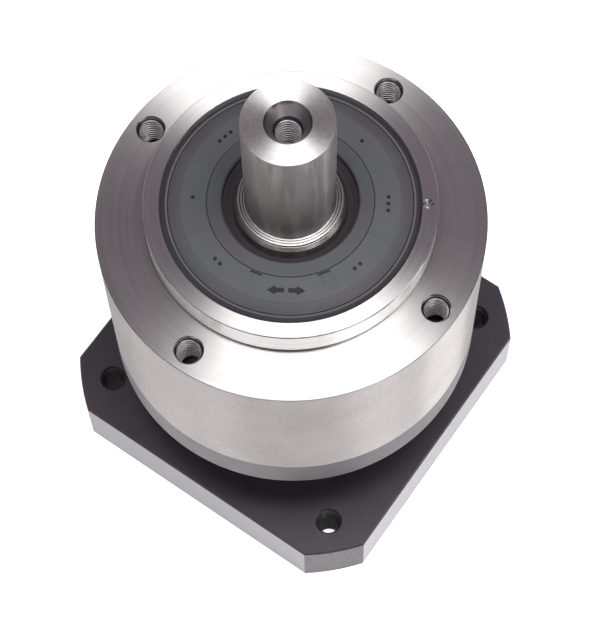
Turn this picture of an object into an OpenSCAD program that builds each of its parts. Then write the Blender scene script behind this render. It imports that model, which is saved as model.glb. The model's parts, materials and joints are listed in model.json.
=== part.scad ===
// Single-stage coaxial planetary gearbox with a round output flange and a square motor plate.
// The origin is the centre of the motor face. +Z runs along the axis, towards the output shaft.

/* [Housing] */
// Diameter of the round housing and of its output flange
body_d = 70; // [68:0.5:76]
// Height of the output flange face above the motor face
flange_z = 75; // [75:0.5:80]
// Diameter of the centring pilot
pilot_d = 52; // [50:0.5:54]
// Height of the pilot above the flange face
pilot_h = 6.5; // [5:0.5:8]
// Height of the seam between the silver housing and the dark one
seam_z = 40; // [40:0.1:40.2]
// Height of the dark band under the seam
band_h = 8; // [7:0.5:9]
// Diameter of the neck between the band and the motor plate
neck_d = 52; // [50:0.5:54]
// Pitch circle of the four tapped flange holes
flange_pcd = 62; // [61:0.5:63]
// Thread diameter of the flange holes
flange_thread = 5; // [4:1:5]
// Depth of the flange holes
flange_depth = 9; // [7:0.5:9.5]

/* [Output shaft] */
// Diameter of the output shaft
shaft_d = 16; // [14:0.5:17]
// Height of the shaft's end above the flange face
shaft_reach = 36; // [30:1:40]
// Diameter of the shaft where the seal runs
journal_d = 20; // [19.4:0.2:20.6]
// Height of the journal's shoulder above the flange face
shoulder_h = 8; // [7:0.5:9]
// Thread diameter of the hole in the shaft's end
centre_thread = 5; // [4:1:6]
// Depth of that hole
centre_depth = 14; // [10:1:20]

/* [Motor plate] */
// Side of the square plate
plate_side = 70; // [68:0.5:74]
// Diameter to which the plate's corners are turned
plate_corner_d = 88; // [84:1:92]
// Thickness of the plate
plate_t = 13; // [12.5:0.5:13.5]
// Diameter of the recess for the motor's centring pilot
motor_pilot_d = 60; // [56:1:62]
// Depth of that recess
motor_pilot_h = 3.5; // [2.5:0.5:4]
// Pitch circle of the motor bolts
motor_pcd = 75; // [72:1:76]
// Thread diameter of the motor bolts
motor_thread = 5; // [4:1:5]
// Diameter of the motor shaft that the hub takes
motor_shaft_d = 14; // [11:1:14]

/* [Gears] */
// Module of the teeth
gear_module = 0.75; // [0.75:0.01:0.76]
// Teeth on the sun gear
sun_teeth = 21; // [21:1:21]
// Teeth on each planet gear
planet_teeth = 21; // [21:1:21]
// Teeth in the ring gear
ring_teeth = 63; // [63:1:63]
// Number of planets
planets = 3; // [3:1:3]
// Circumferential backlash between two mating flanks
backlash = 0.1; // [0.06:0.02:0.14]

/* [Hidden] */

$fn = 96;

// overshoot of a cutting tool past the face that it cuts
over = 1;

// housing
body_r = body_d / 2;
neck_r = neck_d / 2;
pilot_r = pilot_d / 2;
pilot_z = flange_z + pilot_h;
band_z = seam_z - band_h;
edge = 0.15;             // chamfer on turned edges
relief = [0.45, 1.5, 0.25]; // undercut at the pilot's foot: depth, height, and depth under the flange face
punch_mark = [24.1, 33.5, 0.9, 0.7]; // small dent at the seal's bore: radius, angle, half width, depth
wall_r = 20.5;           // inside of the neck
neck_step_r = 16.5;      // shoulder under the input bearing
neck_base_z = plate_t - 3;
web_z = 24.4;            // underside of the web that carries the input bearing
pocket_z = 37.4;         // floor of the pocket that the carrier turns in
pocket_r = 25;
spigot_z = seam_z + 2.6;
o_ring_z = seam_z + 1.3;
o_ring_r = 0.58;
o_ring_groove = [1.5, 1.2]; // width and depth
plate_edge = 0.3;        // chamfer round the motor plate

// shaft seal, as radii and heights; its face rises a little towards the shaft
seal_r = 23;
seal_rim_r = 22.1;
seal_z = [flange_z - 1.1, pilot_z - 0.3];
seal_slope = 0.11;
seal_band = [14.9, 19.4, 0.08]; // raised band on the face: inner and outer radius, height
seal_bead = [21.8, 22, 0.1]; // rounded bead beside the rim: inner and outer radius, height
face_groove = [0.1, 0.2]; // half width and depth
mouth_r = 12.3;
lip_gap = 0.05;          // running clearance of the seal's lips on the journal
journal_r = journal_d / 2;
journal_base_z = seal_z[0] + 0.5;
case_z = [seal_z[0] + 0.3, seal_z[1] - 1];
case_r = seal_r - 0.8;
case_bore_r = 16;
case_t = 0.8;

// ball bearings: [bore radius, outer radius, width, height of the lower face, ball radius, balls]
front_bearing = [12.5, 21, 9, 63.5, 2.5, 13];
rear_bearing = [17.5, 23.5, 7, 55, 1.75, 20];
input_bearing = [10, 18.5, 9, 26, 2.5, 11];
race_gap = 0.05;         // clearance between a ball and its grooves
ring_land = 0.62;        // a race's shoulder, as a share of the ball's radius, from the pitch circle

function pitch_r(b) = (b[0] + b[1]) / 2;
function top_z(b) = b[3] + b[2];

// shields of a bearing, as the heights of both faces of each
shield_t = 0.4;
shield_inset = 0.3;
function shield_heights(b) = [
    [b[3] + shield_inset, b[3] + shield_inset + shield_t],
    [top_z(b) - shield_inset - shield_t, top_z(b) - shield_inset]
];

// retaining rings and their grooves
clip_t = 1;
clip_groove_t = clip_t + 0.1;
clip_groove_depth = 1.2; // in a housing
clip_root_depth = 0.6;   // in a shaft
front_clip_z = top_z(front_bearing);
input_clip_z = top_z(input_bearing);

// gears
pressure_angle = 20;
flank_steps = 5;
ring_seat_r = 27.5;
ring_z = [seam_z + 2.7, seam_z + 11.4];
planet_z = [seam_z + 1.8, seam_z + 10.8];
sun_z = [seam_z + 1.5, seam_z + 11];
orbit_r = gear_module * (sun_teeth + planet_teeth) / 2;
planet_angles = [for (i = [0 : planets - 1]) i * 360 / planets];

// carrier cage: a disc on each side of the planets, joined by the metal between the windows
disc_r = 22.3;
rear_disc_z = [38, seam_z + 1.4];
front_disc_z = [seam_z + 11.2, 54.7];
carrier_neck_r = 19.3;   // between the cage and the rear bearing
spacer_r = 15;           // between the two output bearings
sun_room_r = 9.3;
window_w = 18.4;         // room for a planet gear
pin_r = 3;
washer_r = 5.6;
washer_t = 0.3;

// needle bearing in each planet
needles = 14;
needle_r = 0.745;
needle_gap = 0.015;
needle_orbit_r = pin_r + needle_gap + needle_r;
planet_bore_r = needle_orbit_r + needle_r + needle_gap;

// input hub and its clamp
motor_shaft_r = motor_shaft_d / 2;
hub_z = [15, 37];
hub_bore_top = 31;
hub_wall_r = 9.5;
hub_collar_r = 11.3;     // collar under the input bearing
sun_stub_r = 5;
sun_neck_r = 6.5;
clamp_z = [15.5, 24];
clamp_r = 18;
clamp_mid_z = (clamp_z[0] + clamp_z[1]) / 2;
clamp_screw_y = 13;      // the clamp screw lies across the ring, this far from the axis
clamp_seat_x = 4.5;

// screws: thread radius, head radius, head height, width across the socket's flats
m3 = [1.5, 2.75, 3, 2.5];
m4 = [2, 3.5, 4, 3];
housing_screw_r = 31.2;
housing_screw_angles = [30 : 60 : 330];
dowel_angles = [0, 180];
adapter_screw_r = 23.3;
adapter_screw_angles = [0 : 60 : 300];
adapter_head_z = motor_pilot_h + 3.2;
plate_bore_r = 17.5;
access_r = 4.2;
quarter_angles = [0 : 90 : 270];
corner_angles = [45 : 90 : 315];

// ---- general shapes ----

module tube(outer, inner, low, high) {
    translate([0, 0, low])
        difference() {
            cylinder(r = outer, h = high - low);
            translate([0, 0, -over]) cylinder(r = inner, h = high - low + 2 * over);
        }
}

module disc(radius, low, high) {
    translate([0, 0, low]) cylinder(r = radius, h = high - low);
}

module around(radius, angles) {
    for (a = angles) rotate([0, 0, a]) translate([radius, 0, 0]) children();
}

// a tapped hole that opens upwards at height z: a plain bore of the thread's outer diameter with a chamfer
module tapped_hole(radius, z, depth, chamfer = 0.2) {
    translate([0, 0, z - depth]) cylinder(r = radius, h = depth + over);
    translate([0, 0, z - chamfer]) cylinder(r1 = radius, r2 = radius + chamfer + over, h = chamfer + over);
}

// a socket-head screw that points down, with its head's seat at z = 0
module socket_screw(size, length) {
    head_chamfer = 0.3;
    tip_chamfer = 0.4;
    difference() {
        rotate_extrude()
            polygon([
                [0, -length], [size[0] - tip_chamfer, -length], [size[0], tip_chamfer - length],
                [size[0], 0], [size[1], 0], [size[1], size[2] - head_chamfer],
                [size[1] - head_chamfer, size[2]], [0, size[2]]
            ]);
        translate([0, 0, size[2] * 0.45]) cylinder(d = size[3] / cos(30), h = size[2], $fn = 6);
    }
}

// a retaining ring with its gap and its two pierced ears at angle 0; ears point inwards or outwards
module retaining_ring(outer, inner, low, ears_inwards) {
    gap = 4;
    ear_r = 1.5;
    ear_hole_r = 0.6;
    ear_centre = ears_inwards ? inner - 0.2 : outer + 0.2;
    difference() {
        union() {
            tube(outer, inner, low, low + clip_t);
            for (side = [-1, 1])
                intersection() {
                    translate([ear_centre, side * (gap / 2 + ear_r), low]) cylinder(r = ear_r, h = clip_t);
                    if (ears_inwards) disc(outer - 0.1, low, low + clip_t);
                    else tube(outer + 4, inner + 0.1, low, low + clip_t);
                }
        }
        translate([0, -gap / 2, low - over]) cube([outer + over, gap, clip_t + 2 * over]);
        for (side = [-1, 1])
            translate([ear_centre, side * (gap / 2 + ear_r), low - over])
                cylinder(r = ear_hole_r, h = clip_t + 2 * over);
    }
}

// ---- ball bearings ----

module ball_groove(b) {
    translate([0, 0, b[3] + b[2] / 2])
        rotate_extrude() translate([pitch_r(b), 0]) circle(r = b[4] + race_gap);
}

module bearing_outer(b, shield_grooves = false) {
    land_r = pitch_r(b) + b[4] * ring_land;
    corner = 0.3;
    difference() {
        rotate_extrude()
            polygon([
                [land_r, b[3]], [b[1] - corner, b[3]], [b[1], b[3] + corner],
                [b[1], top_z(b) - corner], [b[1] - corner, top_z(b)], [land_r, top_z(b)]
            ]);
        ball_groove(b);
        if (shield_grooves)
            for (z = shield_heights(b)) disc(land_r + 0.5, z[0], z[1]);
    }
}

module bearing_inner(b) {
    land_r = pitch_r(b) - b[4] * ring_land;
    corner = 0.3;
    difference() {
        rotate_extrude()
            polygon([
                [b[0] + corner, b[3]], [land_r, b[3]], [land_r, top_z(b)],
                [b[0] + corner, top_z(b)], [b[0], top_z(b) - corner], [b[0], b[3] + corner]
            ]);
        ball_groove(b);
    }
}

module bearing_balls(b) {
    around(pitch_r(b), [for (i = [0 : b[5] - 1]) i * 360 / b[5]])
        translate([0, 0, b[3] + b[2] / 2]) sphere(r = b[4]);
}

module bearing_cage(b) {
    half_w = b[4] + 0.6;
    half_t = b[4] * 0.24;
    mid_z = b[3] + b[2] / 2;
    difference() {
        tube(pitch_r(b) + half_t, pitch_r(b) - half_t, mid_z - half_w, mid_z + half_w);
        for (i = [0 : b[5] - 1])
            rotate([0, 0, i * 360 / b[5]])
                translate([pitch_r(b) - 3, 0, mid_z]) rotate([0, 90, 0])
                    cylinder(r = b[4] + race_gap, h = 6);
    }
}

// ---- gear teeth ----

function involute(angle) = tan(angle) * 180 / PI - angle;

// angle at the pressure line for a point at this radius, and zero below the base circle
function flank_angle(base_r, radius) = radius <= base_r ? 0 : acos(base_r / radius);

// points of a toothed outline; thin is taken off each flank, and is negative to widen a tooth space
function tooth_outline(teeth, root_r, tip_r, thin) =
    let (
        reference_r = gear_module * teeth / 2,
        base_r = reference_r * cos(pressure_angle),
        start_r = max(root_r, base_r),
        half = 90 / teeth - thin / reference_r * 180 / PI,
        half_at = function (radius)
            half + involute(pressure_angle) - involute(flank_angle(base_r, radius)),
        up = [for (i = [0 : flank_steps]) start_r + (tip_r - start_r) * i / flank_steps],
        side = [for (r = up) [r, half_at(r)]],
        lower = root_r < start_r ? [[root_r, half_at(start_r)]] : [],
        right = concat(lower, side)
    )
    [
        for (k = [0 : teeth - 1])
            let (middle = k * 360 / teeth)
            each concat(
                [for (p = right) p[0] * [cos(middle - p[1]), sin(middle - p[1])]],
                [for (i = [len(right) - 1 : -1 : 0])
                    right[i][0] * [cos(middle + right[i][1]), sin(middle + right[i][1])]]
            )
    ];

module spur_gear(teeth, low, high) {
    reference_r = gear_module * teeth / 2;
    translate([0, 0, low])
        linear_extrude(height = high - low)
            polygon(tooth_outline(
                teeth, reference_r - 1.25 * gear_module, reference_r + gear_module, backlash / 4
            ));
}

// ---- housing pieces ----

module output_housing() {
    web_r = 20;
    groove_r = front_bearing[1] + clip_groove_depth;
    groove_top = front_clip_z + clip_groove_t;
    relief_r = pilot_r - relief[0];
    relief_top = flange_z + relief[1];
    relief_z = flange_z - relief[2];
    face_start_r = pilot_r + 0.1;
    color("gainsboro")
        difference() {
            rotate_extrude()
                polygon([
                    [ring_seat_r, seam_z], [body_r, seam_z],
                    [body_r, flange_z - edge], [body_r - edge, flange_z],
                    [face_start_r, flange_z], [face_start_r, relief_z],
                    [relief_r, relief_z], [relief_r, relief_top - relief[0]], [pilot_r, relief_top],
                    [pilot_r, pilot_z - edge], [pilot_r - edge, pilot_z],
                    [seal_r + edge, pilot_z], [seal_r, pilot_z - edge],
                    [seal_r, seal_z[0]], [front_bearing[1], seal_z[0]],
                    [front_bearing[1], groove_top], [groove_r, groove_top],
                    [groove_r, front_clip_z], [front_bearing[1], front_clip_z],
                    [front_bearing[1], front_bearing[3]], [web_r, front_bearing[3]],
                    [web_r, top_z(rear_bearing)], [rear_bearing[1], top_z(rear_bearing)],
                    [rear_bearing[1], ring_z[1]], [ring_seat_r, ring_z[1]]
                ]);
            around(flange_pcd / 2, quarter_angles) tapped_hole(flange_thread / 2, flange_z, flange_depth);
            around(housing_screw_r, housing_screw_angles)
                translate([0, 0, seam_z - over]) cylinder(r = m3[0], h = 9 + over);
            around(housing_screw_r, dowel_angles)
                translate([0, 0, seam_z - over]) cylinder(r = m3[0], h = 4 + over);
            rotate([0, 0, punch_mark[1]]) translate([punch_mark[0], 0, pilot_z - punch_mark[3]])
                cylinder(r1 = 0.1, r2 = punch_mark[2] * 2, h = punch_mark[3] * 2);
        }
}

module ring_gear() {
    reference_r = gear_module * ring_teeth / 2;
    color("slategray")
        difference() {
            disc(ring_seat_r, ring_z[0], ring_z[1]);
            translate([0, 0, ring_z[0] - over])
                linear_extrude(height = ring_z[1] - ring_z[0] + 2 * over)
                    polygon(tooth_outline(
                        ring_teeth, reference_r - gear_module, reference_r + 1.25 * gear_module, -backlash / 4
                    ));
        }
}

module input_housing() {
    seat_r = input_bearing[1];
    groove_r = seat_r + clip_groove_depth;
    groove_top = input_clip_z + clip_groove_t;
    o_ring_floor_r = ring_seat_r - o_ring_groove[1];
    o_ring_top = o_ring_z + o_ring_groove[0] / 2;
    o_ring_low = o_ring_z - o_ring_groove[0] / 2;
    color("dimgray")
        difference() {
            rotate_extrude()
                polygon([
                    [wall_r, neck_base_z], [neck_r, neck_base_z], [neck_r, band_z],
                    [body_r - edge, band_z], [body_r, band_z + edge], [body_r, seam_z],
                    [ring_seat_r, seam_z], [ring_seat_r, o_ring_low], [o_ring_floor_r, o_ring_low],
                    [o_ring_floor_r, o_ring_top], [ring_seat_r, o_ring_top],
                    [ring_seat_r, spigot_z], [pocket_r, spigot_z], [pocket_r, pocket_z],
                    [seat_r, pocket_z], [seat_r, groove_top], [groove_r, groove_top],
                    [groove_r, input_clip_z], [seat_r, input_clip_z],
                    [seat_r, input_bearing[3]], [neck_step_r, input_bearing[3]], [neck_step_r, web_z],
                    [wall_r, web_z]
                ]);
            around(housing_screw_r, housing_screw_angles) {
                translate([0, 0, band_z - over]) cylinder(r = m3[0] + 0.15, h = band_h + 2 * over);
                translate([0, 0, band_z - over]) cylinder(r = m3[1] + 0.2, h = m3[2] + 0.2 + over);
            }
            around(housing_screw_r, dowel_angles)
                translate([0, 0, seam_z - 4]) cylinder(r = m3[0], h = 4 + over);
            around(adapter_screw_r, adapter_screw_angles)
                translate([0, 0, neck_base_z - over]) cylinder(r = m3[0], h = 7 + over);
            translate([10, clamp_screw_y, clamp_mid_z]) rotate([0, 90, 0]) cylinder(r = access_r, h = 20);
        }
}

// square plate with turned corners and chamfered edges
module plate_blank() {
    corner_r = plate_corner_d / 2;
    intersection() {
        difference() {
            translate([-plate_side / 2, -plate_side / 2, 0]) cube([plate_side, plate_side, plate_t]);
            for (a = quarter_angles, z = [0, plate_t])
                rotate([0, 0, a]) translate([plate_side / 2, 0, z]) rotate([0, 45, 0])
                    cube([plate_edge * sqrt(2), plate_side + 2 * over, plate_edge * sqrt(2)], center = true);
        }
        rotate_extrude()
            polygon([
                [0, 0], [corner_r - plate_edge, 0], [corner_r, plate_edge],
                [corner_r, plate_t - plate_edge], [corner_r - plate_edge, plate_t], [0, plate_t]
            ]);
    }
}

module adapter_plate() {
    color([0.16, 0.14, 0.16])
        difference() {
            plate_blank();
            disc(motor_pilot_d / 2, -over, motor_pilot_h);
            disc(plate_bore_r, -over, plate_t);
            disc(neck_r, neck_base_z, plate_t + over);
            around(motor_pcd / 2, corner_angles) {
                tapped_hole(motor_thread / 2, plate_t, plate_t + over);
                mirror([0, 0, 1]) tapped_hole(motor_thread / 2, 0, over);
            }
            around(adapter_screw_r, adapter_screw_angles) {
                translate([0, 0, motor_pilot_h - over]) cylinder(r = m3[0] + 0.15, h = plate_t);
                translate([0, 0, motor_pilot_h - over])
                    cylinder(r = m3[1] + 0.15, h = adapter_head_z - motor_pilot_h + over);
            }
        }
}

module housing_screws() {
    color("dimgray")
        around(housing_screw_r, housing_screw_angles)
            translate([0, 0, band_z + m3[2] + 0.2]) rotate([180, 0, 0]) socket_screw(m3, 12);
}

module adapter_screws() {
    color("dimgray")
        around(adapter_screw_r, adapter_screw_angles)
            translate([0, 0, adapter_head_z]) rotate([180, 0, 0]) socket_screw(m3, 10);
}

module housing_o_ring() {
    color("black")
        translate([0, 0, o_ring_z]) rotate_extrude()
            translate([ring_seat_r - o_ring_groove[1] / 2, 0]) circle(r = o_ring_r);
}

module dowel_pins() {
    color("silver")
        around(housing_screw_r, dowel_angles)
            translate([0, 0, seam_z - 3.8]) cylinder(r = m3[0], h = 7.6);
}

// ---- shaft seal ----

function seal_face_z(radius) = seal_z[1] + (seal_rim_r - radius) * seal_slope;

function face_groove_points(radius) = [
    for (side = [1, 0, -1])
        [radius + side * face_groove[0], seal_face_z(radius) - (side == 0 ? face_groove[1] : 0)]
];

module seal_rubber() {
    lip_r = journal_r + lip_gap;
    throat_r = 11;
    face = seal_z[1];
    color("darkslategray")
        rotate_extrude()
            polygon(concat(
                [
                    [seal_r, seal_z[0]], [seal_r, face - seal_r + seal_rim_r], [seal_rim_r, face],
                    [seal_bead[1], face + seal_bead[2]], [seal_bead[0], face + seal_bead[2]]
                ],
                face_groove_points(seal_bead[0] - 2 * face_groove[0]),
                [
                    [seal_band[1] + 0.1, seal_face_z(seal_band[1] + 0.1)],
                    [seal_band[1], seal_face_z(seal_band[1]) + seal_band[2]],
                    [seal_band[0], seal_face_z(seal_band[0]) + seal_band[2]]
                ],
                face_groove_points(seal_band[0] - 2 * face_groove[0]),
                [
                    [mouth_r, seal_face_z(mouth_r)], [mouth_r - 0.25, seal_face_z(mouth_r) - 0.2],
                    [mouth_r - 0.4, face], [throat_r, face - 1],
                    [lip_r, face - 1.7], [throat_r, face - 2.4], [throat_r, face - 3.3],
                    [lip_r, face - 4.4], [throat_r + 0.4, face - 5.6], [13.3, face - 5.6], [13.3, face - 3.4],
                    [case_bore_r, case_z[1] - case_t - 0.1], [case_bore_r, case_z[1]],
                    [case_r, case_z[1]], [case_r, seal_z[0]]
                ]
            ));
}

module seal_case() {
    color("lightsteelblue")
        rotate_extrude()
            polygon([
                [case_r, case_z[0]], [case_r, case_z[1]], [case_bore_r, case_z[1]],
                [case_bore_r, case_z[1] - case_t], [case_r - case_t, case_z[1] - case_t],
                [case_r - case_t, case_z[0]]
            ]);
}

module seal_spring() {
    spring_r = 0.55;
    color("silver")
        translate([0, 0, seal_z[1] - 4.5])
            rotate_extrude() translate([13.3 + spring_r, 0]) circle(r = spring_r);
}

// ---- carrier ----

module carrier_shaft() {
    shaft_r = shaft_d / 2;
    shaft_z = flange_z + shaft_reach;
    shoulder_z = flange_z + shoulder_h;
    shaft_edge = 0.05;
    centre_r = centre_thread / 2;
    cone_h = 2.7;            // centring cone of 60 degrees
    bearing_r = front_bearing[0];
    clip_root_r = bearing_r - clip_root_depth;
    clip_top = front_clip_z + clip_groove_t;
    color("silver")
        difference() {
            rotate_extrude()
                polygon([
                    [0, shaft_z], [shaft_r - shaft_edge, shaft_z], [shaft_r, shaft_z - shaft_edge],
                    [shaft_r, shoulder_z + 0.3], [shaft_r + 0.1, shoulder_z + 0.1],
                    [shaft_r + 0.32, shoulder_z], [shaft_r + 0.4, shoulder_z - 0.12],
                    [shaft_r + 0.48, shoulder_z], [shaft_r + 0.82, shoulder_z],
                    [shaft_r + 0.9, shoulder_z - 0.12], [shaft_r + 0.98, shoulder_z],
                    [shaft_r + 1.3, shoulder_z - 0.05], [shaft_r + 1.35, shoulder_z - 0.6],
                    [shaft_r + 1.4, shoulder_z - 0.6], [journal_r, shoulder_z - 1.15],
                    [journal_r, journal_base_z], [bearing_r, journal_base_z],
                    [bearing_r, clip_top], [clip_root_r, clip_top],
                    [clip_root_r, front_clip_z], [bearing_r, front_clip_z],
                    [bearing_r, front_bearing[3]], [spacer_r, front_bearing[3]],
                    [spacer_r, top_z(rear_bearing)],
                    [rear_bearing[0], top_z(rear_bearing)], [rear_bearing[0], rear_bearing[3]],
                    [carrier_neck_r, rear_bearing[3]], [carrier_neck_r, front_disc_z[1]],
                    [disc_r, front_disc_z[1]], [disc_r, rear_disc_z[0]], [0, rear_disc_z[0]]
                ]);
            disc(sun_room_r, rear_disc_z[0] - over, sun_z[1] + 0.8);
            around(orbit_r, planet_angles) {
                disc(window_w / 2, rear_disc_z[1], front_disc_z[0]);
                translate([0, -window_w / 2, rear_disc_z[1]])
                    cube([disc_r, window_w, front_disc_z[0] - rear_disc_z[1]]);
                disc(pin_r, rear_disc_z[0] - over, front_disc_z[1] - 0.1);
            }
            disc(centre_r, shaft_z - centre_depth, shaft_z);
            translate([0, 0, shaft_z - cone_h])
                cylinder(r1 = centre_r, r2 = centre_r + (cone_h + over) * tan(30), h = cone_h + over);
        }
}

module planet_pins() {
    color("lightsteelblue")
        around(orbit_r, planet_angles) disc(pin_r, rear_disc_z[0] + 0.2, front_disc_z[1] - 0.1);
}

module planet_washers() {
    color("goldenrod")
        around(orbit_r, planet_angles) {
            tube(washer_r, pin_r, rear_disc_z[1], rear_disc_z[1] + washer_t);
            tube(washer_r, pin_r, front_disc_z[0] - washer_t, front_disc_z[0]);
        }
}

module bearing_circlip() {
    color("dimgray")
        rotate([0, 0, 180])
            retaining_ring(front_bearing[1] + 1.15, front_bearing[1] - 1.8, front_clip_z + 0.05, true);
}

module input_circlip() {
    color("dimgray")
        rotate([0, 0, 180])
            retaining_ring(input_bearing[1] + 1.15, input_bearing[1] - 1.8, input_clip_z + 0.05, true);
}

module shaft_circlip() {
    color("dimgray")
        retaining_ring(front_bearing[0] + 1.6, front_bearing[0] - 0.55, front_clip_z + 0.05, false);
}

// ---- planets ----

module planet_gear(index) {
    color("steelblue")
        rotate([0, 0, planet_angles[index - 1]]) translate([orbit_r, 0, 0])
            difference() {
                spur_gear(planet_teeth, planet_z[0], planet_z[1]);
                disc(planet_bore_r, planet_z[0] - over, planet_z[1] + over);
            }
}

module needle_rollers(index) {
    color("white")
        rotate([0, 0, planet_angles[index - 1]]) translate([orbit_r, 0, 0])
            around(needle_orbit_r, [for (i = [0 : needles - 1]) i * 360 / needles])
                disc(needle_r, planet_z[0] + 0.3, planet_z[1] - 0.3);
}

// ---- input side ----

module sun_gear() {
    color("darkorange") {
        spur_gear(sun_teeth, sun_z[0], sun_z[1]);
        disc(sun_neck_r, hub_z[1], sun_z[0]);
        disc(sun_stub_r, hub_bore_top + 0.5, hub_z[1]);
    }
}

module input_hub() {
    slot_w = 1.2;
    seat_r = input_bearing[0];
    clip_root_r = seat_r - clip_root_depth;
    clip_top = input_clip_z + clip_groove_t;
    collar_z = web_z - 0.2;
    color("lightslategray")
        difference() {
            rotate_extrude()
                polygon([
                    [motor_shaft_r + 0.4, hub_z[0]], [hub_wall_r, hub_z[0]], [hub_wall_r, collar_z],
                    [hub_collar_r, collar_z], [hub_collar_r, input_bearing[3]],
                    [seat_r, input_bearing[3]], [seat_r, input_clip_z], [clip_root_r, input_clip_z],
                    [clip_root_r, clip_top], [seat_r, clip_top],
                    [seat_r, hub_z[1]], [sun_stub_r, hub_z[1]], [sun_stub_r, hub_bore_top],
                    [motor_shaft_r, hub_bore_top], [motor_shaft_r, hub_z[0] + 0.4]
                ]);
            for (a = [45, 135])
                rotate([0, 0, a])
                    translate([-12, -slot_w / 2, hub_z[0] - over])
                        cube([24, slot_w, clamp_z[1] - hub_z[0] + over - 0.3]);
        }
}

module clamp_ring() {
    slit_w = 1.5;
    color("silver")
        difference() {
            tube(clamp_r, hub_wall_r, clamp_z[0], clamp_z[1]);
            translate([-slit_w / 2, 0, clamp_z[0] - over])
                cube([slit_w, clamp_r + over, clamp_z[1] - clamp_z[0] + 2 * over]);
            translate([clamp_seat_x, clamp_screw_y, clamp_mid_z]) rotate([0, 90, 0])
                cylinder(r = m4[1] + 0.2, h = clamp_r);
            translate([-11, clamp_screw_y, clamp_mid_z]) rotate([0, 90, 0])
                cylinder(r = m4[0] + 0.05, h = clamp_r);
        }
}

module clamp_screw() {
    color("dimgray")
        translate([clamp_seat_x + 0.03, clamp_screw_y, clamp_mid_z]) rotate([0, 90, 0]) socket_screw(m4, 14);
}

module hub_circlip() {
    color("dimgray")
        retaining_ring(input_bearing[0] + 1.6, input_bearing[0] - 0.55, input_clip_z + 0.05, false);
}

module input_bearing_shields() {
    b = input_bearing;
    color("saddlebrown")
        for (z = shield_heights(b))
            tube(pitch_r(b) + b[4] * ring_land + 0.5, pitch_r(b) - b[4] * ring_land + 0.3, z[0], z[1]);
}

module access_plug() {
    inner_x = 16.6;
    head_r = access_r + 1.2;
    head_low = neck_r + 0.05;
    head_high = neck_r + 0.9;
    color("black") {
        intersection() {
            translate([inner_x, clamp_screw_y, clamp_mid_z]) rotate([0, 90, 0])
                cylinder(r = access_r - 0.05, h = neck_r);
            disc(head_high, neck_base_z, band_z);
        }
        intersection() {
            translate([inner_x, clamp_screw_y, clamp_mid_z]) rotate([0, 90, 0])
                cylinder(r = head_r, h = neck_r);
            tube(head_high, head_low, neck_base_z, band_z);
        }
    }
}

// ---- nodes ----

output_housing();
ring_gear();
input_housing();
adapter_plate();
housing_screws();
adapter_screws();
housing_o_ring();
dowel_pins();
seal_rubber();
seal_case();
seal_spring();
color("silver") bearing_outer(front_bearing);  // front_bearing_outer
color("silver") bearing_outer(rear_bearing);  // rear_bearing_outer
color("silver") bearing_outer(input_bearing, true);  // input_bearing_outer
input_bearing_shields();
bearing_circlip();
input_circlip();
carrier_shaft();
planet_pins();
planet_washers();
color("silver") bearing_inner(front_bearing);  // front_bearing_inner
color("silver") bearing_inner(rear_bearing);  // rear_bearing_inner
shaft_circlip();
planet_gear(1);  // planet_gear_1
planet_gear(2);  // planet_gear_2
planet_gear(3);  // planet_gear_3
needle_rollers(1);  // needle_rollers_1
needle_rollers(2);  // needle_rollers_2
needle_rollers(3);  // needle_rollers_3
sun_gear();
input_hub();
clamp_ring();
color("silver") bearing_inner(input_bearing);  // input_bearing_inner
hub_circlip();
clamp_screw();
color("white") bearing_balls(front_bearing);  // front_bearing_balls
color("goldenrod") bearing_cage(front_bearing);  // front_bearing_cage
color("white") bearing_balls(rear_bearing);  // rear_bearing_balls
color("goldenrod") bearing_cage(rear_bearing);  // rear_bearing_cage
color("white") bearing_balls(input_bearing);  // input_bearing_balls
color("goldenrod") bearing_cage(input_bearing);  // input_bearing_cage
access_plug();
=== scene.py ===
"""The looks of the planetary gearbox: materials, threads, the seal's moulded marks, light and camera."""
import json
import math

import bmesh
import bpy
from mathutils import Matrix, Vector


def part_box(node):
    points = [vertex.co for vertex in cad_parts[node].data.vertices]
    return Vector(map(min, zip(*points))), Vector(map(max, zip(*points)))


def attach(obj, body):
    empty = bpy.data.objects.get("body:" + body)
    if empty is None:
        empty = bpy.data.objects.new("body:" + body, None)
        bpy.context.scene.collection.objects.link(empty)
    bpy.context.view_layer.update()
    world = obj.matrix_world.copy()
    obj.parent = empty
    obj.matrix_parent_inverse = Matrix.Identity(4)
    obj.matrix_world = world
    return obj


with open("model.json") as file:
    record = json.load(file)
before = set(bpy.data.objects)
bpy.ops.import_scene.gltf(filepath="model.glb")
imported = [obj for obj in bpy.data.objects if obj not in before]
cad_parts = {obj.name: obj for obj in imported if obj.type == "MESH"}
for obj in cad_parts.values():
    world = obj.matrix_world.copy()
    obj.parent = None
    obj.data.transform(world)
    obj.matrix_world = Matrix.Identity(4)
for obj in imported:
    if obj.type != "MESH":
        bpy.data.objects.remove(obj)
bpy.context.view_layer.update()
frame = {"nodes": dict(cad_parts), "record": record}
MM = 0.001
nodes = frame["nodes"]

# ---- places, worked out from the frame ----

SHAFT_END_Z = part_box("carrier_shaft")[1].z
PLATE_TOP_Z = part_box("adapter_plate")[1].z
mounts = {mount["name"]: mount for mount in frame["record"]["mounts"]}
FLANGE_Z = mounts["flange_bolts"]["pos_m"][2]
FLANGE_BOLTS = mounts["flange_bolts"]["dims"]
MOTOR_BOLTS = mounts["motor_bolts"]["dims"]
CENTRE_THREAD = mounts["shaft_centre_thread"]["dims"]


def add_object(name, data):
    made = bpy.data.objects.new(name, data)
    bpy.context.scene.collection.objects.link(made)
    return made


def stand(thing, place, right, up, back):
    """Puts a camera or a light at a place, with its three axes along these directions."""
    thing.matrix_world = Matrix.Translation(place) @ Matrix((right, up, back)).transposed().to_4x4()


# ---- camera ----

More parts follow.
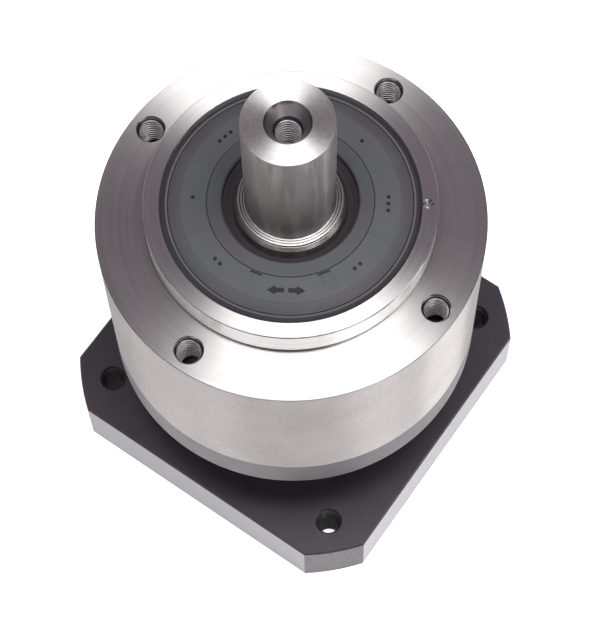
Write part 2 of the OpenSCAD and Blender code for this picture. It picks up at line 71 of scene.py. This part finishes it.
VIEW_AZIMUTH = math.radians(36.1)
VIEW_ELEVATION = math.radians(67.13)
VIEW_ROLL = math.radians(1.33)
VIEW_DISTANCE = 390.4 * MM
AIM_RIGHT = 2.3 * MM
AIM_DOWN = 16.8 * MM
LENS_MM = 126.8
SENSOR_MM = 36


def add_camera():
    """A long lens that looks down on the output flange from the +X -Y quarter."""
    flat = math.cos(VIEW_ELEVATION)
    back = Vector((math.sin(VIEW_AZIMUTH) * flat, -math.cos(VIEW_AZIMUTH) * flat, math.sin(VIEW_ELEVATION)))
    level = Vector((math.cos(VIEW_AZIMUTH), math.sin(VIEW_AZIMUTH), 0))
    sink = -back.cross(level)
    right = level * math.cos(VIEW_ROLL) + sink * math.sin(VIEW_ROLL)
    down = sink * math.cos(VIEW_ROLL) - level * math.sin(VIEW_ROLL)
    data = bpy.data.cameras.new("camera")
    data.lens = LENS_MM
    data.sensor_width = SENSOR_MM
    data.clip_start = 0.01
    camera = add_object("camera", data)
    place = Vector((0, 0, FLANGE_Z)) + back * VIEW_DISTANCE + right * AIM_RIGHT + down * AIM_DOWN
    stand(camera, place, right, -down, back)
    bpy.context.scene.camera = camera


add_camera()

# ---- light ----

LIGHT_AIM = Vector((0, 0, 60 * MM))
ROOM_COLOUR = (0.19, 0.158, 0.185, 1)


def towards_view(right, back, up):
    """A point given in metres to the right of the camera's line, behind the object, and above the floor."""
    return Vector((
        math.cos(VIEW_AZIMUTH) * right - math.sin(VIEW_AZIMUTH) * back,
        math.sin(VIEW_AZIMUTH) * right + math.cos(VIEW_AZIMUTH) * back,
        up,
    ))


def add_softbox(name, place, width, length, watts):
    """A rectangular light whose length lies in the camera's vertical plane."""
    data = bpy.data.lights.new(name, "AREA")
    data.shape = "RECTANGLE"
    data.size = width
    data.size_y = length
    data.energy = watts
    back = (place - LIGHT_AIM).normalized()
    right = towards_view(1, 0, 0)
    right = (right - back * right.dot(back)).normalized()
    stand(add_object(name, data), place, right, back.cross(right), back)


def add_light():
    add_softbox("softbox_top", towards_view(0.07, -0.05, 1.1), 0.75, 0.3, 9.8)
    add_softbox("softbox_right", towards_view(0.85, -0.3, 0.15), 0.4, 0.25, 2.2)
    add_softbox("softbox_left", towards_view(-0.7, -0.6, 0.15), 0.9, 0.25, 1.3)
    add_softbox("softbox_front", towards_view(0.45, -0.65, 0.65), 0.3, 0.25, 1.2)
    world = bpy.data.worlds.new("studio")
    world.use_nodes = True
    background = world.node_tree.nodes["Background"]
    background.inputs["Color"].default_value = ROOM_COLOUR
    background.inputs["Strength"].default_value = 1.0
    bpy.context.scene.world = world
    bpy.context.scene.view_settings.view_transform = "Standard"


add_light()

# ---- material graphs ----


class Graph:
    """One material's node tree. Positions are in millimetres, in the object's own frame."""

    def __init__(self, name):
        self.material = bpy.data.materials.new(name)
        self.material.use_nodes = True
        self.tree = self.material.node_tree
        self.shader = self.tree.nodes["Principled BSDF"]

    def node(self, kind, **settings):
        made = self.tree.nodes.new(kind)
        for name, value in settings.items():
            setattr(made, name, value)
        return made

    def feed(self, socket, value):
        if isinstance(value, bpy.types.NodeSocket):
            self.tree.links.new(value, socket)
        elif isinstance(value, tuple) and len(value) == 3 and socket.type == "RGBA":
            socket.default_value = (*value, 1)
        else:
            socket.default_value = value

    def math(self, operation, *values):
        made = self.node("ShaderNodeMath", operation=operation)
        for socket, value in zip(made.inputs, values):
            self.feed(socket, value)
        return made.outputs[0]

    def plus(self, first, second):
        return self.math("ADD", first, second)

    def times(self, first, second):
        return self.math("MULTIPLY", first, second)

    def position(self):
        """x, y and z in millimetres."""
        scale = self.node("ShaderNodeVectorMath", operation="SCALE")
        scale.inputs["Scale"].default_value = 1 / MM
        self.feed(scale.inputs[0], self.node("ShaderNodeTexCoord").outputs["Object"])
        return self.split(scale.outputs[0])

    def split(self, vector):
        made = self.node("ShaderNodeSeparateXYZ")
        self.feed(made.inputs[0], vector)
        return made.outputs[0], made.outputs[1], made.outputs[2]

    def combine(self, x, y, z):
        made = self.node("ShaderNodeCombineXYZ")
        for socket, value in zip(made.inputs, (x, y, z)):
            self.feed(socket, value)
        return made.outputs[0]

    def length(self, x, y):
        return self.math("SQRT", self.plus(self.times(x, x), self.times(y, y)))

    def normal(self):
        """x, y and z of the surface's direction."""
        return self.split(self.node("ShaderNodeNewGeometry").outputs["Normal"])

    def noise(self, vector, scale, detail=3.0, roughness=0.5):
        made = self.node("ShaderNodeTexNoise")
        self.feed(made.inputs["Vector"], vector)
        made.inputs["Scale"].default_value = scale
        made.inputs["Detail"].default_value = detail
        made.inputs["Roughness"].default_value = roughness
        return made.outputs["Fac"]

    def remap(self, value, low, high, to_low=0.0, to_high=1.0):
        """A soft step: to_low up to low, and to_high from high on."""
        made = self.node("ShaderNodeMapRange", interpolation_type="SMOOTHSTEP")
        for name, number in (("From Min", low), ("From Max", high), ("To Min", to_low), ("To Max", to_high)):
            self.feed(made.inputs[name], number)
        self.feed(made.inputs["Value"], value)
        return made.outputs[0]

    def blend(self, share, first, second):
        """A number between two numbers."""
        made = self.node("ShaderNodeMix", data_type="FLOAT")
        for socket, value in zip(made.inputs[:1] + made.inputs[2:4], (share, first, second)):
            self.feed(socket, value)
        return made.outputs[0]

    def tint(self, share, first, second):
        """A colour between two colours."""
        made = self.node("ShaderNodeMix", data_type="RGBA")
        for socket, value in zip(made.inputs[:1] + made.inputs[6:8], (share, first, second)):
            self.feed(socket, value)
        return made.outputs[2]

    def bump(self, height, height_mm, strength):
        made = self.node("ShaderNodeBump")
        made.inputs["Distance"].default_value = height_mm * MM
        made.inputs["Strength"].default_value = strength
        self.feed(made.inputs["Height"], height)
        return made.outputs[0]

    def finish(self, **inputs):
        """Feeds the shader's inputs; an input's name is written with underscores for spaces."""
        for name, value in inputs.items():
            self.feed(self.shader.inputs[name.replace("_", " ")], value)
        return self.material

    def turned(self, amount):
        """Anisotropy that follows grooves around the Z axis."""
        self.shader.inputs["Anisotropic"].default_value = amount
        self.shader.inputs["Anisotropic Rotation"].default_value = 0.25
        self.feed(self.shader.inputs["Tangent"],
                  self.node("ShaderNodeTangent", direction_type="RADIAL", axis="Z").outputs[0])


def around_axis(g, x, y, radius):
    """The direction from the axis, which keeps a pattern seamless around it."""
    far = g.math("MAXIMUM", radius, 0.01)
    return g.math("DIVIDE", x, far), g.math("DIVIDE", y, far)


def chamfer_share(g):
    """1 on faces at about 45 degrees to the axis, where a sharp edge was broken."""
    steep = g.math("ABSOLUTE", g.normal()[2])
    return g.times(g.remap(steep, 0.56, 0.64), g.remap(steep, 0.78, 0.86, 1, 0))


def off_centre(g, x, y, circle_r):
    """How far a point is from the nearest of four centres, on the X and Y axes at that radius."""
    across_x, across_y = g.math("ABSOLUTE", x), g.math("ABSOLUTE", y)
    along = g.math("SUBTRACT", g.math("MAXIMUM", across_x, across_y), circle_r)
    return g.length(along, g.math("MINIMUM", across_x, across_y))


def flange_hole_share(g, x, y):
    """1 inside the four tapped holes of the flange."""
    off = off_centre(g, x, y, FLANGE_BOLTS["pcd_mm"] / 2)
    return g.remap(off, FLANGE_BOLTS["hole_r_mm"] - 0.1, FLANGE_BOLTS["hole_r_mm"] + 0.05, 1, 0)


def turned_metal(name, face_colours, side_colours, speck_and_edge_shade_colour, rough, groove_mm):
    """Bare metal from a lathe: rings on the faces, satin sides below the flange, and painted shade darkening
    the broken edges and the walls of the tapped holes.
    """
    g = Graph(name)
    x, y, z = g.position()
    radius = g.length(x, y)
    face = g.remap(g.math("ABSOLUTE", g.normal()[2]), 0.86, 0.95)
    across = g.blend(face, z, radius)
    around_x, around_y = around_axis(g, x, y, radius)
    lines = g.noise(g.combine(g.times(across, 5.0), around_x, around_y), 1.0, 6, 0.75)
    bands = g.noise(g.combine(g.times(across, 0.9), around_x, around_y), 1.0, 3, 0.6)
    cloud = g.noise(g.combine(x, y, z), 0.09, 4, 0.6)
    satin = g.noise(g.combine(x, y, g.times(z, 0.5)), 2.2, 5, 0.75)
    speck = g.noise(g.combine(x, y, z), 1.7, 2, 0.6)
    face_shade = g.plus(g.times(lines, 0.45), g.times(bands, 0.3))
    face_shade = g.plus(face_shade, g.times(cloud, 0.25))
    side_shade = g.plus(g.times(satin, 0.55), g.times(cloud, 0.3))
    side_shade = g.plus(side_shade, g.times(lines, 0.15))
    face_base = g.tint(g.remap(face_shade, 0.3, 0.62), face_colours[0], face_colours[1])
    side_base = g.tint(g.remap(side_shade, 0.34, 0.62), side_colours[0], side_colours[1])
    bright = g.math("MAXIMUM", face, g.math("GREATER_THAN", z, FLANGE_Z / MM + 0.1))
    base = g.tint(bright, side_base, face_base)
    base = g.tint(g.remap(speck, 0.68, 0.8, 0, 0.35), base, speck_and_edge_shade_colour)
    # painted shade: the broken edges, at about 45 degrees, take the dark colour that the specks also use
    base = g.tint(chamfer_share(g), base, speck_and_edge_shade_colour)
    # painted shade: the walls of the flange's tapped holes are darkened
    base = g.tint(flange_hole_share(g, x, y), base, (0.10, 0.09, 0.10))
    rough_all = g.remap(lines, 0.3, 0.7, rough - 0.05, rough + 0.05)
    rough_all = g.blend(g.times(bright, g.math("SUBTRACT", 1.0, face)), rough_all, 0.25)
    height = g.blend(face, satin, lines)
    g.turned(1.0)
    return g.finish(Base_Color=base, Metallic=1.0, Roughness=rough_all, Normal=g.bump(height, groove_mm, 0.6))


# heights and radii in the shaft's centre hole in millimetres, each pair the two ends of a soft step
CONE_RIM_R = (3.6, 3.85)
BORE_WALL_R = (CENTRE_THREAD["r_mm"] + 0.04, CENTRE_THREAD["r_mm"] + 0.08)
BORE_FLOOR_Z = (96.5, 96.8)


def ground_steel(name, face_colours, side_colours, face_rough, side_rough):
    """Turned end faces, and ground sides whose tone drifts slowly between mauve and olive, with soft streaks
    along the axis; painted shade darkens the centre hole's countersink and bore.
    """
    g = Graph(name)
    x, y, z = g.position()
    radius = g.length(x, y)
    steep = g.math("ABSOLUTE", g.normal()[2])
    face = g.remap(steep, 0.8, 0.9)
    across = g.blend(face, z, radius)
    around_x, around_y = around_axis(g, x, y, radius)
    lines = g.noise(g.combine(g.times(across, 9.0), around_x, around_y), 1.0, 5, 0.8)
    along = g.combine(g.times(around_x, 5.0), g.times(around_y, 5.0), g.times(z, 0.05))
    streak = g.noise(along, 1.0, 4, 0.6)
    side_tone = g.noise(g.combine(x, y, g.times(z, 0.5)), 0.16, 3, 0.5)
    grain = g.noise(g.combine(x, y, z), 1.6, 4, 0.7)
    side_base = g.tint(g.remap(side_tone, 0.36, 0.64), side_colours[0], side_colours[1])
    side_base = g.tint(g.remap(streak, 0.45, 0.7, 0, 0.7), side_base, side_colours[2])
    side_base = g.tint(g.remap(grain, 0.5, 0.8, 0, 0.3), side_base, side_colours[0])
    face_shade = g.plus(g.times(lines, 0.6), g.times(grain, 0.4))
    face_base = g.tint(g.remap(face_shade, 0.35, 0.65), face_colours[0], face_colours[1])
    base = g.tint(face, side_base, face_base)
    # painted shade: the countersink around the centre hole is darkened
    cone = g.times(g.remap(radius, *CONE_RIM_R, 1, 0), g.remap(steep, 0.9, 0.95, 1, 0))
    base = g.tint(cone, base, (0.26, 0.24, 0.25))
    # painted shade: the wall of the centre bore is darkened, down to about its floor
    bore = g.times(g.remap(radius, *BORE_WALL_R, 1, 0), g.remap(z, *BORE_FLOOR_Z))
    base = g.tint(bore, base, (0.08, 0.075, 0.08))
    rough = g.blend(face, side_rough, face_rough)
    rough = g.plus(rough, g.remap(grain, 0.3, 0.7, -0.02, 0.04))
    rough = g.blend(cone, rough, 0.5)
    g.turned(0.9)
    return g.finish(Base_Color=base, Metallic=1.0, Roughness=rough, Specular_Tint=(0.45, 0.43, 0.45),
                    Normal=g.bump(lines, 0.0008, 0.5))


def plain_steel(name, colour, dark, rough, metallic=1.0, grain_mm=0.002):
    """Small steel parts: a slightly mottled finish."""
    g = Graph(name)
    x, y, z = g.position()
    place = g.combine(x, y, z)
    mottle = g.noise(place, 0.8, 5, 0.65)
    fine = g.noise(place, 9.0, 3, 0.6)
    base = g.tint(g.remap(mottle, 0.35, 0.65), dark, colour)
    rough_all = g.remap(mottle, 0.3, 0.7, rough - 0.05, rough + 0.1)
    return g.finish(Base_Color=base, Metallic=metallic, Roughness=rough_all,
                    Normal=g.bump(fine, grain_mm, 0.5))


def cut_thread(name, circle_r, crest_r):
    """Bright crests above roots painted dark as shade."""
    g = Graph(name)
    x, y, z = g.position()
    off = off_centre(g, x, y, circle_r)
    mottle = g.noise(g.combine(x, y, z), 1.2, 4, 0.6)
    crest = g.tint(g.remap(mottle, 0.35, 0.65), (0.62, 0.61, 0.61), (0.86, 0.85, 0.84))
    # painted shade: the ridge darkens from its crest to its root
    base = g.tint(g.remap(off, crest_r + 0.08, crest_r + 0.2), crest, (0.04, 0.037, 0.04))
    return g.finish(Base_Color=base, Metallic=1.0, Roughness=g.remap(mottle, 0.3, 0.7, 0.32, 0.42))


def coated_band(name):
    """The dark grey housing: turned metal under a thin satin coating."""
    g = Graph(name)
    x, y, z = g.position()
    place = g.combine(x, y, z)
    radius = g.length(x, y)
    across = g.blend(g.remap(g.math("ABSOLUTE", g.normal()[2]), 0.45, 0.8), z, radius)
    lines = g.noise(g.combine(g.times(across, 6.0), 0.0, 0.0), 1.0, 5, 0.7)
    mottle = g.noise(place, 0.35, 4, 0.6)
    fine = g.noise(place, 5.0, 3, 0.7)
    base = g.tint(g.remap(mottle, 0.35, 0.65), (0.097, 0.092, 0.101), (0.112, 0.112, 0.113))
    base = g.tint(g.remap(fine, 0.55, 0.75, 0, 0.35), base, (0.24, 0.235, 0.24))
    height = g.plus(g.times(lines, 0.6), g.times(fine, 0.4))
    return g.finish(Base_Color=base, Metallic=0.75, Roughness=g.remap(mottle, 0.3, 0.7, 0.42, 0.52),
                    Normal=g.bump(height, 0.004, 0.6))


# the plate in millimetres, whose corners are cut on a circle
PLATE_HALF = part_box("adapter_plate")[1].x / MM
PLATE_CORNER_R = 44


def anodised_plate(name):
    """Black anodised faces, and bare sides where the plate was cut to size afterwards; painted shade darkens
    the sides facing +Y and -Y and, more strongly, the round-cut corners.
    """
    g = Graph(name)
    x, y, z = g.position()
    place = g.combine(x, y, z)
    ny, nz = g.normal()[1:]
    radius = g.length(x, y)
    upright = g.remap(g.math("ABSOLUTE", nz), 0.5, 0.7, 1, 0)
    square = g.math("MAXIMUM", g.math("ABSOLUTE", x), g.math("ABSOLUTE", y))
    outside = g.remap(square, PLATE_HALF - 0.1, PLATE_HALF - 0.03)
    corner = g.remap(radius, PLATE_CORNER_R - 0.15, PLATE_CORNER_R - 0.03)
    bare = g.times(upright, g.math("MAXIMUM", outside, corner))
    mottle = g.noise(place, 0.16, 4, 0.6)
    fine = g.noise(place, 6.0, 4, 0.7)
    swirl = g.noise(g.combine(g.times(radius, 2.6), 0.0, 0.0), 1.0, 5, 0.75)
    black = g.tint(g.remap(mottle, 0.35, 0.65), (0.050, 0.037, 0.050), (0.038, 0.034, 0.045))
    black = g.tint(g.remap(fine, 0.6, 0.8, 0, 0.3), black, (0.075, 0.062, 0.075))
    feed = g.noise(g.combine(g.times(z, 0.6), g.times(x, 3.0), g.times(y, 3.0)), 1.0, 5, 0.7)
    metal = g.tint(g.remap(feed, 0.35, 0.65), (0.28, 0.275, 0.29), (0.42, 0.41, 0.43))
    # painted shade: the bare sides that face +Y or -Y are darker
    metal = g.tint(g.remap(g.math("ABSOLUTE", ny), 0.6, 0.8, 0, 0.35), metal, (0.10, 0.10, 0.105))
    # painted shade: the round-cut corners are darker still
    metal = g.tint(corner, metal, (0.105, 0.097, 0.105))
    base = g.tint(bare, black, metal)
    rough = g.blend(bare, g.remap(swirl, 0.3, 0.7, 0.36, 0.48), g.remap(feed, 0.3, 0.7, 0.38, 0.5))
    metallic = g.blend(bare, 0.0, 1.0)
    height = g.blend(bare, swirl, feed)
    return g.finish(Base_Color=base, Metallic=metallic, Roughness=rough, Specular_IOR_Level=0.3,
                    Normal=g.bump(height, 0.004, 0.5))


# radii on the seal's face in millimetres, each pair the two ends of a soft step
THROAT_EDGE = (11.9, 12.1)
BAND_INNER_EDGE = (14.3, 14.5)
BAND_OUTER_EDGE = (19.4, 19.7)
RIM_SHADE = (19.5, 21.6)
BEAD_INNER_EDGE = (21.68, 21.72)
BEAD_OUTER_EDGE = (22.08, 22.12)


def moulded_rubber(name):
    """The shaft seal: matte blue-grey rubber with a bloom, dust specks and a fine mould texture; a painted
    reflection lightens the flat band, a painted highlight the outer bead, and painted shade darkens the rim
    and the throat.
    """
    g = Graph(name)
    x, y, z = g.position()
    place = g.combine(x, y, z)
    radius = g.length(x, y)
    bloom = g.noise(place, 0.14, 4, 0.6)
    fine = g.noise(place, 4.5, 4, 0.7)
    dust = g.noise(place, 1.9, 2, 0.5)
    base = g.tint(g.remap(bloom, 0.35, 0.65), (0.068, 0.058, 0.068), (0.064, 0.073, 0.081))
    # painted reflection: the flat band is lighter
    band = g.times(g.remap(radius, *BAND_INNER_EDGE), g.remap(radius, *BAND_OUTER_EDGE, 1, 0))
    base = g.tint(g.times(band, 0.7), base, (0.084, 0.090, 0.099))
    base = g.tint(g.remap(radius, *RIM_SHADE, 0, 0.55), base, (0.040, 0.036, 0.041))
    # painted highlight: the outer bead is lighter
    bead = g.times(g.remap(radius, *BEAD_INNER_EDGE), g.remap(radius, *BEAD_OUTER_EDGE, 1, 0))
    base = g.tint(bead, base, (0.105, 0.10, 0.108))
    # painted shade: the throat inside 12 mm radius is a little darker
    base = g.tint(g.remap(radius, *THROAT_EDGE, 1, 0), base, (0.066, 0.054, 0.062))
    base = g.tint(g.remap(dust, 0.74, 0.8, 0, 0.5), base, (0.35, 0.35, 0.36))
    return g.finish(Base_Color=base, Roughness=g.remap(bloom, 0.3, 0.7, 0.5, 0.62),
                    Specular_IOR_Level=0.4, Normal=g.bump(fine, 0.012, 0.5))


def moulded_plastic(name, colour, specular):
    """Dark plastic or hard rubber with a fine mould texture."""
    g = Graph(name)
    x, y, z = g.position()
    fine = g.noise(g.combine(x, y, z), 4.0, 4, 0.7)
    base = g.tint(g.remap(fine, 0.4, 0.7), colour, tuple(1.6 * c for c in colour))
    return g.finish(Base_Color=base, Roughness=g.remap(fine, 0.3, 0.7, 0.45, 0.6),
                    Specular_IOR_Level=specular, Normal=g.bump(fine, 0.01, 0.5))


materials = {
    "housing_metal": turned_metal(
        "turned_housing", face_colours=((0.62, 0.60, 0.60), (0.80, 0.79, 0.775)),
        side_colours=((0.37, 0.35, 0.345), (0.475, 0.455, 0.44)), speck_and_edge_shade_colour=(0.26, 0.25, 0.25),
        rough=0.45, groove_mm=0.003),
    "dark_housing": coated_band("coated_housing"),
    "black_plate": anodised_plate("anodised_plate"),
    "shaft_steel": ground_steel(
        "ground_shaft", face_colours=((0.60, 0.58, 0.58), (0.78, 0.77, 0.74)),
        side_colours=((0.195, 0.172, 0.19), (0.23, 0.235, 0.205), (0.33, 0.315, 0.30)),
        face_rough=0.48, side_rough=0.33),
    "gear_steel": plain_steel("cut_gears", (0.58, 0.575, 0.56), (0.42, 0.41, 0.40), 0.3),
    "bearing_steel": plain_steel(
        "bearing_steel", (0.78, 0.77, 0.76), (0.66, 0.65, 0.64), 0.16, grain_mm=0.0006),
    "spring_steel": plain_steel(
        "phosphated_spring", (0.12, 0.12, 0.125), (0.07, 0.07, 0.075), 0.4, metallic=0.8),
    "screw_steel": plain_steel(
        "black_screws", (0.055, 0.055, 0.06), (0.03, 0.03, 0.033), 0.38, metallic=0.7),
    "bronze": plain_steel("bronze_cage", (0.62, 0.43, 0.20), (0.45, 0.30, 0.13), 0.32),
    "seal_rubber": moulded_rubber("seal_rubber"),
    "plug_plastic": moulded_plastic("plug_plastic", (0.02, 0.02, 0.022), 0.5),
}

THREAD_DEPTH = 0.433      # of a thread of 0.8 mm pitch, in millimetres
CREST_R = FLANGE_BOLTS["hole_r_mm"] - THREAD_DEPTH
flange_thread = cut_thread("flange_thread", FLANGE_BOLTS["pcd_mm"] / 2, CREST_R)
shaft_thread = cut_thread("shaft_thread", 0.0, CREST_R)
black_thread = plain_steel("anodised_thread", (0.05, 0.042, 0.05), (0.03, 0.025, 0.03), 0.4, metallic=0.5)
mark_rubber = moulded_plastic("seal_marks", (0.012, 0.011, 0.014), 0.2)

for part in frame["record"]["subparts"]:
    mesh = nodes[part["node"]].data
    mesh.materials.clear()
    mesh.materials.append(materials[part["material_slot"]])

# ---- pieces ----

SHARP_EDGE = math.radians(35)


def add_piece(name, mesh_maker, material, body):
    """Makes an object from a function that fills a bmesh, and puts it on its body."""
    shape = bmesh.new()
    mesh_maker(shape)
    bmesh.ops.recalc_face_normals(shape, faces=shape.faces)
    mesh = bpy.data.meshes.new(name)
    shape.to_mesh(mesh)
    shape.free()
    mesh.materials.append(material)
    mesh.shade_smooth()
    mesh.set_sharp_from_angle(angle=SHARP_EDGE)
    piece = add_object(name, mesh)
    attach(piece, body)


# ---- threads ----

COARSE_PITCH = 0.8 * MM
THREAD_STEPS = 40         # per turn
RUN_OUT = 0.6             # turns over which a ridge rises and falls at its ends
ROOT_DEPTH = 0.05 * MM    # how far a ridge reaches into the wall of its bore
FLANGE_THREAD_LENGTH = 9 * MM
CONE_DEPTH = 2.6 * MM     # from the shaft's end to its thread


def fill_thread(shape, centre, top, depth, major_r):
    """A right-handed helical ridge on the wall of a bore, from just under its mouth to near its floor."""
    root_r = major_r + ROOT_DEPTH
    total = int((depth - 1.1 * COARSE_PITCH) / COARSE_PITCH * THREAD_STEPS)
    run_out = RUN_OUT * THREAD_STEPS
    rings = []

    def corner(radius, angle, z):
        return shape.verts.new((centre[0] + radius * math.cos(angle), centre[1] + radius * math.sin(angle), z))

    for i in range(total + 1):
        share = max(min(1, i / run_out, (total - i) / run_out), 0.02)
        crest_r = root_r - (THREAD_DEPTH * MM + ROOT_DEPTH) * share
        angle = -2 * math.pi * i / THREAD_STEPS
        z = top - COARSE_PITCH * (0.55 + i / THREAD_STEPS)
        rings.append([corner(r, angle, z + rise * COARSE_PITCH) for r, rise in
                      ((root_r, 0.42), (crest_r, 0.08), (crest_r, -0.08), (root_r, -0.42))])
    for first, second in zip(rings, rings[1:]):
        for k in range(4):
            shape.faces.new((first[k], first[(k + 1) % 4], second[(k + 1) % 4], second[k]))
    shape.faces.new(rings[0])
    shape.faces.new(rings[-1])


def hole_circle(bolts, first_angle):
    """The centres of the four holes of a mount, in metres."""
    radius = bolts["pcd_mm"] / 2 * MM
    angles = (math.radians(a) for a in range(first_angle, 360, 90))
    return [(radius * math.cos(a), radius * math.sin(a)) for a in angles]


def add_thread(name, centre, top, depth, bore_r_mm, material, body):
    def fill(shape):
        fill_thread(shape, centre, top, depth, bore_r_mm * MM)

    add_piece(name, fill, material, body)


def add_threads():
    for i, hole in enumerate(hole_circle(FLANGE_BOLTS, 0)):
        add_thread(f"flange_thread_{i + 1}", hole, FLANGE_Z, FLANGE_THREAD_LENGTH, FLANGE_BOLTS["hole_r_mm"],
                   flange_thread, "housing")
    for i, hole in enumerate(hole_circle(MOTOR_BOLTS, 45)):
        add_thread(f"motor_thread_{i + 1}", hole, PLATE_TOP_Z - 0.1 * MM, PLATE_TOP_Z,
                   MOTOR_BOLTS["hole_r_mm"], black_thread, "housing")
    add_thread("shaft_thread", (0, 0), SHAFT_END_Z - CONE_DEPTH, CENTRE_THREAD["length_mm"] * MM,
               CENTRE_THREAD["r_mm"], shaft_thread, "carrier")


add_threads()

# ---- the seal's moulded marks ----

SECTORS = 8
SECTOR = 360 / SECTORS
FIRST_LINE = -80          # degrees from +X to the line where the arrows' sector starts
ARROW_ANGLE = FIRST_LINE + SECTOR / 2
EXTRA_LINE = FIRST_LINE + SECTOR + 7
BAR_ANGLES = (FIRST_LINE + 2, FIRST_LINE + SECTOR + 2.3)
LINE_WIDTH = 0.13 * MM
LINE_HEIGHT = 0.05 * MM
BAR_LENGTH = 2.3 * MM
BAR_INNER = 14.95 * MM
BAR_OUTER = 15.3 * MM
BAR_HEIGHT = 0.06 * MM
SYMBOL_HEIGHT = 0.1 * MM
PIP_R = 0.36 * MM
PIP_GAP = 1.3 * MM
PIP_POINTS = 20
SUNK = 0.05 * MM          # how far a mark reaches into the seal
TAPER = 0.92              # the size of a mark's top, as a share of its foot
BAND_INNER = 14.9 * MM
BAND_OUTER = 19.4 * MM
BAND_MIDDLE = (BAND_INNER + BAND_OUTER) / 2


def rings_of(name):
    """(radius, height) of the upper side of a turned node, wherever its outline has a corner."""
    tops = {}
    for vertex in nodes[name].data.vertices:
        radius = round(math.hypot(vertex.co.x, vertex.co.y) / MM, 1) * MM
        tops[radius] = max(tops.get(radius, 0.0), vertex.co.z)
    return tops


SEAL_RINGS = rings_of("seal_rubber")


def seal_height(radius):
    """The height of the seal's face, between two of its rings."""
    inner = max(r for r in SEAL_RINGS if r <= BAND_INNER)
    outer = min(r for r in SEAL_RINGS if r >= BAND_OUTER)
    share = (radius - inner) / (outer - inner)
    return SEAL_RINGS[inner] + share * (SEAL_RINGS[outer] - SEAL_RINGS[inner])


def fill_prism(shape, outline, angle, height):
    """A low raised mark: its outline's points are (along the radius, across it), before it turns."""
    turn = Matrix.Rotation(math.radians(angle), 4, "Z")
    middle_x = sum(p[0] for p in outline) / len(outline)
    middle_y = sum(p[1] for p in outline) / len(outline)

    def corner(x, y, lift):
        return shape.verts.new(turn @ Vector((x, y, seal_height(math.hypot(x, y)) + lift)))

    low = [corner(x, y, -SUNK) for x, y in outline]
    high = [corner(middle_x + TAPER * (x - middle_x), middle_y + TAPER * (y - middle_y), height)
            for x, y in outline]
    shape.faces.new(low)
    shape.faces.new(high)
    for i in range(len(outline)):
        j = (i + 1) % len(outline)
        shape.faces.new((low[i], low[j], high[j], high[i]))


def bar(inner, outer, width):
    """A rectangle's outline."""
    return [(inner, -width / 2), (outer, -width / 2), (outer, width / 2), (inner, width / 2)]


def arrow(direction):
    """An arrow across the radius, from beside the sector's middle outwards."""
    tail, neck, tip = 0.35 * MM, 1.9 * MM, 3.4 * MM
    half_shaft, half_head = 0.4 * MM, 0.85 * MM
    outline = [(-half_shaft, tail), (half_shaft, tail), (half_shaft, neck), (half_head, neck), (0, tip),
               (-half_head, neck), (-half_shaft, neck)]
    return [(BAND_MIDDLE + x, direction * y) for x, y in outline]


def pip(across):
    """A dot's outline, on the middle of the band."""
    angles = (2 * math.pi * k / PIP_POINTS for k in range(PIP_POINTS))
    return [(BAND_MIDDLE + PIP_R * math.cos(a), across + PIP_R * math.sin(a)) for a in angles]


def fill_lines(shape):
    for angle in [FIRST_LINE + i * SECTOR for i in range(SECTORS)] + [EXTRA_LINE]:
        fill_prism(shape, bar(BAND_INNER, BAND_OUTER, LINE_WIDTH), angle, LINE_HEIGHT)


def fill_symbols(shape):
    """Two arrows and two bars at the first sector, and one to three pips in each of the others."""
    for direction in (-1, 1):
        fill_prism(shape, arrow(direction), ARROW_ANGLE, SYMBOL_HEIGHT)
    for angle in BAR_ANGLES:
        fill_prism(shape, bar(BAR_INNER, BAR_OUTER, BAR_LENGTH), angle, BAR_HEIGHT)
    for i in range(1, SECTORS):
        last = i % 3
        for k in range(last + 1):
            fill_prism(shape, pip((k - last / 2) * PIP_GAP), ARROW_ANGLE + i * SECTOR, SYMBOL_HEIGHT)


add_piece("seal_divisions", fill_lines, materials["seal_rubber"], "housing")
add_piece("seal_symbols", fill_symbols, mark_rubber, "housing")

# ---- floor ----

FLOOR_HALF = 3.0          # metres


def add_floor():
    corners = [(x * FLOOR_HALF, y * FLOOR_HALF, 0) for x, y in ((-1, -1), (1, -1), (1, 1), (-1, 1))]
    mesh = bpy.data.meshes.new("floor")
    mesh.from_pydata(corners, [], [(0, 1, 2, 3)])
    g = Graph("floor_white")
    mesh.materials.append(g.finish(Base_Color=(0.8, 0.8, 0.8), Roughness=0.8, Specular_IOR_Level=0.0,
                                   Emission_Color=(1.0, 1.0, 1.0), Emission_Strength=0.8))
    add_object("floor", mesh)


add_floor()
